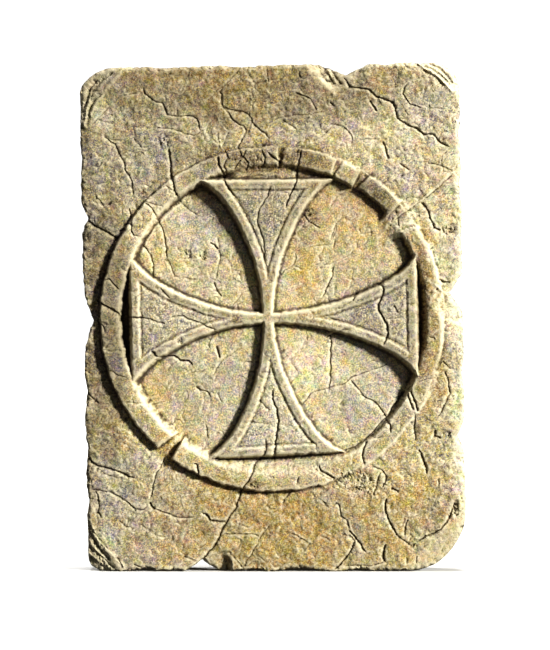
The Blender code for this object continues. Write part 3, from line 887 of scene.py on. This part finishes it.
ring_top += ease(ring_top, 0.2, 1.0) * (0.07 * small_forms + 0.04 * crumbs - 0.06)
for first, last, left, lean in RING_GAPS.values():
    slant = lean * (ring_radius - RING_MIDDLE) / 6.0 + 0.15 * crumbs
    gap = ease(ring_angle + slant, first - 0.3, first + 0.3)
    gap *= 1 - ease(ring_angle - slant * 0.4, last - 0.3, last + 0.3)
    level = left + 0.04 * crumbs + 0.12 * small_forms
    ring_top = ring_top + gap * (np.minimum(ring_top, level) - ring_top)
field_share = np.clip(ring_radius / FIELD_RADIUS, 0, 1)
field_rim = by_angle(FIELD_RIM, ring_angle)
field = -(FIELD_MIDDLE + (field_rim - FIELD_MIDDLE) * field_share ** 2)
field += 0.14 * large_forms + 0.09 * small_forms
relief -= by_angle(OUTSIDE_SINK, ring_angle) * ease(-ring_radius, -RING_OUTER - 7.0, -RING_OUTER - 1.0)
on_ring = ease(-ring_radius, -RING_OUTER - 0.4, -RING_OUTER + 0.4)
face_or_ring = np.where(ring_top > 0.02, relief * (1 - on_ring) + ring_top, relief)
wall = ease(ring_radius, inner_foot - 0.2, inner_edge + 0.4)
relief = np.where(ring_radius < inner_edge + 0.4, field + (face_or_ring - field) * wall, face_or_ring)

# Cross
arm_wobble = 0.10 * cloud(37, 5.0, 0.9) + 0.03 * cloud(38, 1.4, 0.6)
edge_highlight, groove_shade, panel_mask, arm_mask, border_mask = empty(5)
arms = np.full(GRID_X.shape, -50.0)
for name in ARMS:
    inset = arm_insets(name)
    raise_to(arms, arm_relief(inset, arm_wobble))
    raise_to(arm_mask, ease(inset, -0.4, 0.4))
    raise_to(panel_mask, ease(inset, BORDER + GROOVE * 0.6, BORDER + GROOVE))
    inset = inset + arm_wobble
    # Painted highlights along each arm's edge and its border's inner edge, and painted shade along its
    # groove
    for place, width in ((0.1, 0.28), (BORDER - 0.15, 0.24)):
        raise_to(edge_highlight, np.exp(-((inset - place) / width) ** 2))
    raise_to(border_mask, ease(inset, 0.5, 0.9) * (1 - ease(inset, BORDER - 0.7, BORDER - 0.3)))
    raise_to(groove_shade, np.exp(-((inset - BORDER - GROOVE / 2) / 0.28) ** 2))
arms += 0.05 * small_forms - 0.04
foot = 1.0 - np.clip((relief - arms) / 1.2, 0, 1)
relief = np.where(arms > relief, arms, relief + 0.5 * foot ** 2 * ease(-ring_radius, -FIELD_RADIUS, -50))
relief = blur(relief, 0.10)
edge_highlight *= ease(relief, -1.5, 0.5)


def slope_plane(first, second, low, depth):
    """Plane that is level at two pixels and this deep at the third one."""
    corners = np.array([[*at(*first), 1.0], [*at(*second), 1.0], [*at(*low), 1.0]])
    a, b, c = np.linalg.solve(corners, np.array([0.0, 0.0, -depth]))
    return a * GRID_X + b * GRID_Z + c


broken, pits = empty(2)
for number, (first, second, low, depth, reach, harshness) in enumerate(SLOPES.values()):
    plane = slope_plane(first, second, low, depth)
    low_x, low_z = at(*low)
    away = np.hypot(GRID_X - low_x, GRID_Z - low_z) / (reach * MM_PER_PX)
    plane = plane + harshness * (0.6 * cloud(50 + number, 5.0, 0.9) + 0.3 * small_forms)
    lower = ease(-away, -1.15, -0.85) * np.clip(relief - plane - 0.1, 0, None)
    raise_to(broken, ease(lower, 0.05, 0.4))
    relief = relief - lower
for number, (x, y, half_x, half_y, turn, depth, harshness) in enumerate(PATCHES.values()):
    mask = blob(x, y, half_x, half_y, turn)
    chips = cloud(80 + number, 2.2, 0.5)
    relief -= mask * (depth * (0.55 + 0.45 * np.clip(chips, -1, 1)) + 0.35 * harshness * np.abs(chips))
    raise_to(pits, mask * ease(chips, 0.2, 1.4))

# Cracks
cut, crack_shade, crack_highlight, step = empty(4)
width_noise = 1 + 0.35 * cloud(39, 2.0, 0.5)


def cut_route(points, half_width, depth, drop, darkness):
    slices, distance, side, share, lit = near_route(points, half_width * 3 + 2.0)
    ends = ease(share, 0.0, 0.06) * (1 - ease(share, 0.94, 1.0)) * 0.65 + 0.35
    width = half_width * np.clip(width_noise[slices], 0.45, 1.8) * ends
    lip = width * (1 + LIT_LIP * ease(lit, 0.0, 0.9))
    raise_to(cut, np.clip(1 - distance / lip, 0, 1) * depth * ends, slices)
    # Painted shade in the crack, and a painted highlight beside it, strongest on its side toward the key
    # light
    raise_to(crack_shade, darkness * np.clip(1.2 - distance / width, 0, 1) * ends, slices)
    pale = np.exp(-((distance - width - 0.25) / 0.30) ** 2) * (0.35 + 0.65 * ease(lit, -0.2, 0.7)) * ends
    raise_to(crack_highlight, pale, slices)
    fall = np.exp(-distance / 1.1) * ease(-distance, -half_width * 3 - 2.0, -half_width * 2)
    step[slices] -= drop * fall * (side > 0) * ends


for cracks in CRACKS.values():
    for crack in cracks:
        kind, pixels = crack.split(" ", 1)
        cut_route(jagged(pixel_route(pixels)), *CRACK_KINDS[kind])
for scores in SCORES.values():
    for pixels in scores:
        cut_route(jagged(pixel_route(pixels), *SCORE_KINKS), *SCORE_KIND)


def veins(seed, size, width):
    """Signed distance to lines that wander over the tile, spaced about size millimetres, over width."""
    field = cloud(seed, size, 1.3)
    fall = np.hypot(*np.gradient(field, PITCH))
    return field / np.maximum(fall, 0.02) / width


# Fine veins that come and go all over the tile
for number, (size, width, depth) in enumerate(VEINS):
    line = veins(100 + number, size, width)
    cover = ease(cloud(120 + number, 11.0, 0.9), 0.0, 0.7)
    cut += depth * cover * np.exp(-line ** 2)
    # Painted shade in each vein and a painted highlight beside it
    raise_to(crack_shade, 0.3 * cover * np.exp(-(line * 1.3) ** 2))
    raise_to(crack_highlight, 0.95 * cover * np.exp(-((line - 1.3) * 0.9) ** 2))

relief = relief - cut + step


def raise_ridge(pixels, kinks, width, rise, paleness):
    """Smooth ridge along a route, with a painted highlight along it."""
    slices, distance = near_route(jagged(pixel_route(pixels), *kinks), 4 * width)[:2]
    ridge = np.exp(-(distance / width) ** 2)
    relief[slices] += rise * ridge
    raise_to(crack_highlight, paleness * ridge, slices)


for pixels in RIDGES:
    raise_ridge(pixels, RIDGE_KINKS, RIDGE_WIDTH, RIDGE_RISE, 0.8)
for pixels in LIT_RIDGE_LINES.values():
    raise_ridge(pixels, PALE_KINKS, PALE_WIDTH, PALE_RISE, 1.0)

# Scattered pits
for count, low_size, high_size, depth in PITS:
    for _ in range(count):
        x, z = rng.uniform(-HALF_WIDTH, HALF_WIDTH), rng.uniform(-HALF_HEIGHT, HALF_HEIGHT)
        size = rng.uniform(low_size, high_size)
        slices = window(x - size, x + size, z - size, z + size)
        away = np.hypot(GRID_X[slices] - x, (GRID_Z[slices] - z) * rng.uniform(0.7, 1.4)) / size
        pit = np.clip(1 - away, 0, 1) * depth * rng.uniform(0.3, 1)
        relief[slices] -= pit
        raise_to(pits, ease(pit, 0.02, 0.25) * 0.8, slices)

# Worn edge
arris = ARRIS + 0.5 * cloud(40, 8.0, 0.7) + 0.25 * cloud(41, 2.0, 0.6)
arris = np.clip(arris, ARRIS_LEAST, ARRIS_MOST)
inward = np.clip(edge_in / arris, 0, 1)
relief -= arris * (1 - np.sqrt(1 - (1 - inward) ** 2))
relief = np.clip(relief, LOWEST, HIGHEST)

# Masks of the stone's colours, its painted shade and its painted highlights
hollow = np.clip(blur(relief, 1.2) - relief, 0, None)
dents = np.clip(blur(relief, 0.5) - relief, 0, None)
proud = np.clip(relief - blur(relief, 0.8), 0, None)
mottle = cloud(42, 9.0, 0.5)
masks = {}
for colour, spots in STAINS.items():
    mask = np.zeros(GRID_X.shape)
    for x, y, half_x, half_y, turn, strength in spots.values():
        raise_to(mask, strength * blob(x, y, half_x * 1.35, half_y * 1.35, turn))
    masks[colour] = np.clip(mask * (0.9 + 0.2 * mottle), 0, 1)
raise_to(masks["grime"], border_mask * np.clip(0.50 + 0.25 * mottle, 0, 1))
# Painted shade: darker in cracks, pits, hollows and at the feet of walls, on faces turned away from the key
# light, on the grooves' shaded walls and under the painted shadows
feet = ease(blur(relief, 3.0) - relief, 0.9, 2.6)
lean_z, lean_x = np.gradient(relief, PITCH)
facing = -(lean_x * LIGHT_ACROSS + lean_z * LIGHT_UP)
dark = np.maximum(crack_shade, 0.4 * pits) + 0.5 * ease(hollow, 0.25, 1.1) + 0.45 * feet
dark += 0.35 * ease(dents, 0.04, 0.25)
dark += 0.40 * ease(-facing, 0.5, 1.4) * ease(edge_in, 1.5, 4.0)
raise_to(dark, 0.70 * groove_shade * ease(-facing, -0.7, 0.4))
raise_to(dark, masks["painted_shadow"] * ease(feet, 0.0, 0.5) * 0.9)
masks["dark"] = np.clip(dark, 0, 1)
# Painted highlights on raised bits, on faces turned to the key light, beside cracks and along the arms'
# edges and the ridges, with paler stone on the broken slopes
pale = crack_highlight + 0.8 * ease(proud, 0.03, 0.28) + 0.3 * broken + 0.5 * edge_highlight
pale += 0.75 * ease(facing, 0.3, 0.9)
masks["pale"] = np.clip(pale, 0, 1) * (1 - masks["dark"]) * (1 - 0.8 * masks["brown"])
masks["field"] = ease(-ring_radius, -inner_edge, -FIELD_RADIUS) * (1 - arm_mask)
masks["panel"] = panel_mask


def grid_points():
    """Grid of the front view, warped near its border so that the border is the tile's outline."""
    cols = int(2 * HALF_WIDTH / MESH_STEP / BACK_STEP) * BACK_STEP
    rows = int(2 * HALF_HEIGHT / MESH_STEP / BACK_STEP) * BACK_STEP
    u, v = np.meshgrid(np.linspace(-1, 1, cols + 1), np.linspace(-1, 1, rows + 1))
    x, z = u * HALF_WIDTH, v * HALF_HEIGHT
    outward = np.maximum(np.abs(u), np.abs(v))
    angle = np.arctan2(z, x)
    radius = edge_at(angle) * outward
    share = ease(outward, 0.55, 1.0)
    return x + (radius * np.cos(angle) - x) * share, z + (radius * np.sin(angle) - z) * share


def border_walk(rows, cols):
    """Row and column of the grid's border points, anticlockwise seen from the front."""
    walk = [(0, col) for col in range(cols)]
    walk += [(row, cols) for row in range(rows)]
    walk += [(rows, col) for col in range(cols, 0, -1)]
    walk += [(row, 0) for row in range(rows, 0, -1)]
    return walk


def make_tile_mesh():
    x, z = grid_points()
    rows, cols = x.shape[0] - 1, x.shape[1] - 1
    y = -(THICKNESS + sample(relief, x, z))
    points = [np.column_stack([x.ravel(), y.ravel(), z.ravel()])]
    index = np.arange(x.size).reshape(x.shape)
    quads = [np.stack([index[:-1, :-1], index[:-1, 1:], index[1:, 1:], index[1:, :-1]], -1).reshape(-1, 4)]
    walk = border_walk(rows, cols)
    border = np.array([index[row, col] for row, col in walk])
    count = len(border)
    front = points[0][border]
    inward = -front[:, [0, 2]] / np.hypot(front[:, 0], front[:, 2])[:, None]
    levels = np.linspace(0, 1, SIDE_LEVELS)[1:]
    down = int((THICKNESS + 3) / SIDE_PITCH)
    rough = 0.30 * cloud(60, 9.0, 0.9, (count, down), SIDE_PITCH)
    rough += 0.10 * cloud(61, 2.5, 0.8, (count, down), SIDE_PITCH)
    rough = np.clip(rough + 0.45, 0, None)[:, (levels * THICKNESS / SIDE_PITCH).astype(int)]
    last = border
    for number, share in enumerate(levels):
        depth = front[:, 1] * (1 - share)
        back = np.clip(1 - np.abs(depth) / BACK_ARRIS, 0, 1)
        shift = rough[:, number] * min(1.0, share * 6) * (1 - share * 0.4)
        shift = shift + BACK_ARRIS * (1 - np.sqrt(1 - back ** 2 * 0.99))
        ring = np.column_stack([
            front[:, 0] + inward[:, 0] * shift, depth, front[:, 2] + inward[:, 1] * shift])
        first = sum(len(part) for part in points)
        here = first + np.arange(count)
        points.append(ring)
        quads.append(np.stack([last, here, np.roll(here, -1), np.roll(last, -1)], -1))
        last = here
    back_index = {place: last[number] for number, place in enumerate(walk)}
    coarse_x, coarse_z = x[::BACK_STEP, ::BACK_STEP], z[::BACK_STEP, ::BACK_STEP]
    uneven = 0.25 + 0.12 * sample(large_forms, coarse_x, -coarse_z) + 0.08 * sample(
        small_forms, -coarse_x, coarse_z)
    flat = ease(sample(edge_in, coarse_x, coarse_z), 0.5, 6.0)
    coarse_y = -np.clip(uneven, 0, None) * flat
    first = sum(len(part) for part in points)
    points.append(np.column_stack([coarse_x.ravel(), coarse_y.ravel(), coarse_z.ravel()]))
    coarse = first + np.arange(coarse_x.size).reshape(coarse_x.shape)

    def back_point(row, col):
        place = (row, col)
        if place in back_index:
            return int(back_index[place])
        return int(coarse[row // BACK_STEP, col // BACK_STEP])

    back_faces = []
    for row in range(0, rows, BACK_STEP):
        for col in range(0, cols, BACK_STEP):
            top, right = row + BACK_STEP, col + BACK_STEP
            sides = (
                (row, col, 1, 0, col == 0),
                (top, col, 0, 1, top == rows),
                (top, right, -1, 0, right == cols),
                (row, right, 0, -1, row == 0),
            )
            face = []
            for start_row, start_col, up, across, on_border in sides:
                for number in range(BACK_STEP if on_border else 1):
                    face.append(back_point(start_row + up * number, start_col + across * number))
            back_faces.append(face)
    points = np.vstack(points) * MM
    quads = np.vstack(quads)
    mesh = bpy.data.meshes.new("stone_tile")
    corners = [quads.ravel()] + [np.array(face) for face in back_faces]
    sizes = np.concatenate([np.full(len(quads), 4), [len(face) for face in back_faces]]).astype(np.int32)
    corners = np.concatenate(corners).astype(np.int32)
    mesh.vertices.add(len(points))
    mesh.vertices.foreach_set("co", points.astype(np.float32).ravel())
    mesh.loops.add(len(corners))
    mesh.loops.foreach_set("vertex_index", corners)
    mesh.polygons.add(len(sizes))
    mesh.polygons.foreach_set("loop_start", np.concatenate([[0], np.cumsum(sizes)[:-1]]).astype(np.int32))
    mesh.update(calc_edges=True)
    mesh.validate()
    return mesh


def drop_loose(mesh):
    """Remove the points that no face uses."""
    bm = bmesh.new()
    bm.from_mesh(mesh)
    loose = [vert for vert in bm.verts if not vert.link_faces]
    bmesh.ops.delete(bm, geom=loose, context="VERTS")
    bm.to_mesh(mesh)
    bm.free()


def make_tile():
    mesh = make_tile_mesh()
    tile = bpy.data.objects.new("stone_tile", mesh)
    bpy.context.collection.objects.link(tile)
    drop_loose(mesh)
    triangles = sum(len(face.vertices) - 2 for face in mesh.polygons)
    if triangles > TRIANGLES:
        thin = tile.modifiers.new("thin_out", "DECIMATE")
        thin.ratio = TRIANGLES / triangles
        evaluated = tile.evaluated_get(bpy.context.evaluated_depsgraph_get())
        smaller = bpy.data.meshes.new_from_object(evaluated)
        tile.modifiers.clear()
        tile.data = smaller
        bpy.data.meshes.remove(mesh)
        mesh = smaller
    for vert in mesh.vertices:
        vert.co.y = min(max(vert.co.y, -(THICKNESS + HIGHEST) * MM), 0.0)
    mesh.shade_smooth()
    mesh.set_sharp_from_angle(angle=math.radians(SHARP_ANGLE))
    return tile


# Masks that the mesh carries, three to an attribute, and their strengths on the sides and the back
PACKS = {
    "tints": ("orange", "grey", "brown"),
    "wear": ("dark", "pale", "cream"),
    "zones": ("field", "grime", "panel"),
}
PLAIN_SIDES = {"grey": 0.45, "grime": 0.55}


def add_masks(tile):
    """Store the colours' masks on the mesh. The side and the back take the plain ones."""
    mesh = tile.data
    co = np.empty(len(mesh.vertices) * 3, np.float32)
    mesh.vertices.foreach_get("co", co)
    x, y, z = (co.reshape(-1, 3) / MM).T
    height = -y - THICKNESS
    front = 1 - ease(np.abs(height - sample(relief, x, z)), 0.6, 1.6)
    for name, parts in PACKS.items():
        values = np.ones((len(x), 4), np.float32)
        for channel, part in enumerate(parts):
            plain = PLAIN_SIDES.get(part, 0.0)
            values[:, channel] = sample(masks[part], x, z) * front + plain * (1 - front)
        layer = mesh.attributes.new(name, "FLOAT_COLOR", "POINT")
        layer.data.foreach_set("color", values.ravel())


class Paint:
    """A new material's node tree, with short ways to add nodes to it."""

    def __init__(self, name):
        self.material = bpy.data.materials.new(name)
        self.material.use_nodes = True
        self.tree = self.material.node_tree
        self.shader = self.tree.nodes["Principled BSDF"]

    def feed(self, socket, value):
        """Link the value where it is a socket, or else set it."""
        if isinstance(value, bpy.types.NodeSocket):
            self.tree.links.new(value, socket)
        elif isinstance(value, tuple) and len(value) < len(socket.default_value):
            socket.default_value = (*value, 1.0)
        else:
            socket.default_value = value

    def add(self, kind, inputs, **settings):
        """A new node with these settings, fed with these inputs."""
        made = self.tree.nodes.new("ShaderNode" + kind)
        column, row = len(self.tree.nodes) % 12, len(self.tree.nodes) // 12
        made.location = (-200 * column - 400, -260 * row)
        for key, value in settings.items():
            setattr(made, key, value)
        for key, value in inputs.items():
            self.feed(made.inputs[key], value)
        return made

    def mix(self, first, second, amount, mode="MIX"):
        made = self.add("Mix", {0: amount, 6: first, 7: second}, data_type="RGBA", blend_type=mode)
        return made.outputs[2]

    def noise(self, place, scale, detail, rough=0.5):
        inputs = {"Vector": place, "Scale": scale, "Detail": detail, "Roughness": rough}
        return self.add("TexNoise", inputs).outputs

    def between(self, value, low, high):
        """The value from 0 to 1 spread from low to high."""
        return self.add("MapRange", {"Value": value, "To Min": low, "To Max": high}).outputs["Result"]

    def speckle(self, place, scale, low, high, detail, rough):
        """Noise turned into a mask that rises where the noise goes from low to high."""
        value = self.noise(place, scale, detail, rough)["Fac"]
        inputs = {"Value": value, "From Min": low, "From Max": high}
        return self.add("MapRange", inputs, interpolation_type="SMOOTHSTEP").outputs["Result"]

    def times(self, value, factor):
        return self.add("Math", {0: value, 1: factor}, operation="MULTIPLY", use_clamp=True).outputs[0]

    def tinged(self, colour, place, scale, spread, detail):
        """The colour with each of its channels varied by a noise of its own."""
        noise = self.noise(place, scale, detail)["Color"]
        base = tuple(1 - channel / 2 for channel in spread)
        around = self.add("VectorMath", {0: noise, 1: spread, 2: base}, operation="MULTIPLY_ADD")
        return self.add("VectorMath", {0: colour, 1: around.outputs[0]}, operation="MULTIPLY").outputs[0]

    def surface(self, colour, roughness, specular):
        """Finish the material with this colour, roughness and strength of its gloss."""
        self.feed(self.shader.inputs["Base Color"], colour)
        self.feed(self.shader.inputs["Roughness"], roughness)
        self.feed(self.shader.inputs["Specular IOR Level"], specular)


# Colours of the stone, linear. The grime grey, the brown and the near-black also paint shade and shadows,
# and the cream also paints highlights
BUFF = (0.48, 0.38, 0.185)
OCHRE = (0.48, 0.345, 0.11)
SAND = (0.68, 0.57, 0.34)
ORANGE = (0.58, 0.37, 0.08)
GREY = (0.34, 0.345, 0.385)
GRIME_AND_SHADE_GREY = (0.51, 0.485, 0.44)
VIOLET = (0.17, 0.15, 0.20)
STAIN_AND_SHADE_BROWN = (0.15, 0.085, 0.03)
CREAM_AND_HIGHLIGHT_TONE = (0.92, 0.84, 0.60)
YELLOW = (0.74, 0.57, 0.17)
FLECK_AND_SHADE_BLACK = (0.030, 0.018, 0.012)

# Noises of the stone: scale, the two levels that the mask rises between, detail and roughness
SPECKLES = {
    "ochre": (45, 0.38, 0.62, 4, 0.6),
    "grey": (65, 0.48, 0.60, 6, 0.7),
    "patches": (190, 0.42, 0.62, 3, 0.6),
    "crowds": (85, 0.40, 0.62, 4, 0.6),
    "flecks": (1250, 0.52, 0.59, 2, 0.6),
    "panel_flecks": (900, 0.54, 0.62, 3, 0.7),
    "yellow_flecks": (1900, 0.53, 0.62, 2, 0.6),
    "pale_grains": (2200, 0.55, 0.63, 2, 0.6),
    "shade": (1900, 0.34, 0.66, 2, 0.7),
}

# Changes of the colour in small patches, then from grain to grain: scale of the noise, how strongly
# each channel follows it, detail
TINGES = ((260, (1.0, 0.6, 2.2), 3), (1500, (0.9, 0.6, 1.3), 2))

# Layers of colour from the bottom up: colour, the noise or the mask that it follows, strength
LAYERS = (
    (OCHRE, "ochre", 1.0),
    (SAND, "patches", 0.60),
    (GREY, "grey", 0.72),
    (SAND, "field_mask", 0.55),
    (ORANGE, "orange_mask", 0.80),
    (GREY, "grey_mask", 0.62),
    (CREAM_AND_HIGHLIGHT_TONE, "cream_mask", 0.75),
    (STAIN_AND_SHADE_BROWN, "brown_mask", 0.85),
    (GREY, "panel_mask", 0.22),
)


def stone_material():
    paint = Paint("buff_stone")
    place = paint.add("TexCoord", {}).outputs["Object"]
    part = {name: paint.speckle(place, *noise) for name, noise in SPECKLES.items()}
    for name, names in PACKS.items():
        attribute = paint.add("Attribute", {}, attribute_name=name)
        split = paint.add("SeparateColor", {"Color": attribute.outputs["Color"]})
        part.update({f"{mask}_mask": socket for mask, socket in zip(names, split.outputs)})
    colour = BUFF
    for tone, name, strength in LAYERS:
        colour = paint.mix(colour, tone, paint.times(part[name], strength))
    for scale, spread, detail in TINGES:
        colour = paint.tinged(colour, place, scale, spread, detail)

    # Dark flecks, fewer in the field and on orange stone, and crowded here and there
    flecks = part["flecks"]
    for share in (
            paint.between(part["field_mask"], 0.75, 0.35),
            paint.between(part["crowds"], 0.45, 1.35),
            paint.between(part["orange_mask"], 1.0, 0.45)):
        flecks = paint.times(flecks, share)
    colour = paint.mix(colour, VIOLET, flecks)
    panel_flecks = paint.times(part["panel_flecks"], part["panel_mask"])
    colour = paint.mix(colour, FLECK_AND_SHADE_BLACK, paint.times(panel_flecks, 0.55))
    colour = paint.mix(colour, YELLOW, paint.times(part["yellow_flecks"], 0.48))
    pale_grains = paint.times(part["pale_grains"], paint.between(part["panel_mask"], 0.50, 1.0))
    colour = paint.mix(colour, CREAM_AND_HIGHLIGHT_TONE, pale_grains)
    level = paint.between(part["shade"], 0.56, 1.38)
    colour = paint.add("VectorMath", {0: colour, "Scale": level}, operation="SCALE").outputs[0]

    # Painted highlights and paler worn stone, then darker patches with painted shade, then the painted
    # shade and shadows, over all of it
    colour = paint.mix(colour, CREAM_AND_HIGHLIGHT_TONE, paint.times(part["pale_mask"], 0.85))
    colour = paint.mix(colour, GRIME_AND_SHADE_GREY, part["grime_mask"], "MULTIPLY")
    colour = paint.mix(colour, FLECK_AND_SHADE_BLACK, paint.times(part["dark_mask"], 0.92))
    grit = paint.noise(place, 1200, 3, 0.65)["Fac"]
    bump = paint.add("Bump", {"Strength": 0.5, "Distance": 0.0005, "Height": grit})
    paint.feed(paint.shader.inputs["Normal"], bump.outputs["Normal"])
    paint.surface(colour, paint.between(part["patches"], 0.78, 0.95), 0.2)
    return paint.material


# Stage, in metres
FLOOR_REACH = 6.0
FLOOR_COLOURS = ((0.93, 0.93, 0.92), (0.95, 0.95, 0.94))
CAMERA_DISTANCE = 1.2


def floor_material():
    paint = Paint("pale_floor")
    noise = paint.add("TexNoise", {"Scale": 6.0}).outputs["Fac"]
    paint.surface(paint.mix(*FLOOR_COLOURS, noise), 0.9, 0.1)
    return paint.material


def make_floor():
    level = -HALF_HEIGHT * MM
    corners = [(FLOOR_REACH * x, FLOOR_REACH * y, level) for x, y in ((-1, -1), (1, -1), (1, 1), (-1, 1))]
    mesh = bpy.data.meshes.new("floor")
    mesh.from_pydata(corners, [], [(0, 1, 2, 3)])
    floor = bpy.data.objects.new("floor", mesh)
    bpy.context.collection.objects.link(floor)
    floor.data.materials.append(floor_material())
    floor.visible_diffuse = False
    return floor


# Distant lamps: direction toward each, its spread in degrees, strength and colour
SUNS = {
    "key": ((0.80, -0.64, 0.37), 8.0, 4.8, (1.0, 0.98, 0.93)),
    "overhead": ((0.0, 0.0, 1.0), 20.0, 2.2, (1.0, 1.0, 1.0)),
    "behind": ((-0.50, 0.70, 0.45), 20.0, 2.0, (1.0, 0.98, 0.95)),
}
AMBIENT = (0.93, 0.95, 1.0)
AMBIENT_STRENGTH = 0.07


def add_sun(name, direction, spread, strength, colour):
    lamp = bpy.data.lights.new(name, "SUN")
    lamp.angle = math.radians(spread)
    lamp.energy = strength
    lamp.color = colour
    light = bpy.data.objects.new(name, lamp)
    bpy.context.collection.objects.link(light)
    toward = Vector(direction).normalized()
    light.location = toward
    light.rotation_mode = "QUATERNION"
    light.rotation_quaternion = toward.to_track_quat("Z", "Y")


def add_world():
    """Weak light from all around, on a background that the camera sees as plain white."""
    world = bpy.data.worlds.new("studio")
    bpy.context.scene.world = world
    world.use_nodes = True
    tree = world.node_tree
    ambient = tree.nodes["Background"]
    plain = tree.nodes.new("ShaderNodeBackground")
    ambient.inputs["Color"].default_value = (*AMBIENT, 1.0)
    ambient.inputs["Strength"].default_value = AMBIENT_STRENGTH
    plain.inputs["Color"].default_value = (1.0, 1.0, 1.0, 1.0)
    path = tree.nodes.new("ShaderNodeLightPath")
    mix = tree.nodes.new("ShaderNodeMixShader")
    tree.links.new(path.outputs["Is Camera Ray"], mix.inputs[0])
    tree.links.new(ambient.outputs[0], mix.inputs[1])
    tree.links.new(plain.outputs[0], mix.inputs[2])
    tree.links.new(mix.outputs[0], tree.nodes["World Output"].inputs["Surface"])


def add_camera():
    """Straight in front. One photograph pixel is MM_PER_PX wide at the tile's face."""
    tall = PHOTO_HIGH * MM_PER_PX * MM
    lens = bpy.data.cameras.new("camera")
    lens.sensor_fit = "AUTO"
    lens.sensor_width = 36.0
    lens.lens = lens.sensor_width * CAMERA_DISTANCE / tall
    camera = bpy.data.objects.new("camera", lens)
    bpy.context.collection.objects.link(camera)
    middle_x, middle_z = at(PHOTO_WIDE / 2, PHOTO_HIGH / 2)
    camera.location = (middle_x * MM, -(THICKNESS * MM + CAMERA_DISTANCE), middle_z * MM)
    camera.rotation_euler = (math.pi / 2, 0.0, 0.0)
    lens.clip_start = 0.05
    lens.clip_end = 50
    bpy.context.scene.camera = camera


tile = make_tile()
add_masks(tile)
tile.data.materials.clear()
tile.data.materials.append(stone_material())
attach(tile, "root")
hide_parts("cross_tile")

floor = make_floor()
for name, sun in SUNS.items():
    add_sun(name, *sun)
add_world()
add_camera()
bpy.context.scene.view_settings.view_transform = "Standard"
bpy.context.scene.view_settings.look = "Medium High Contrast"
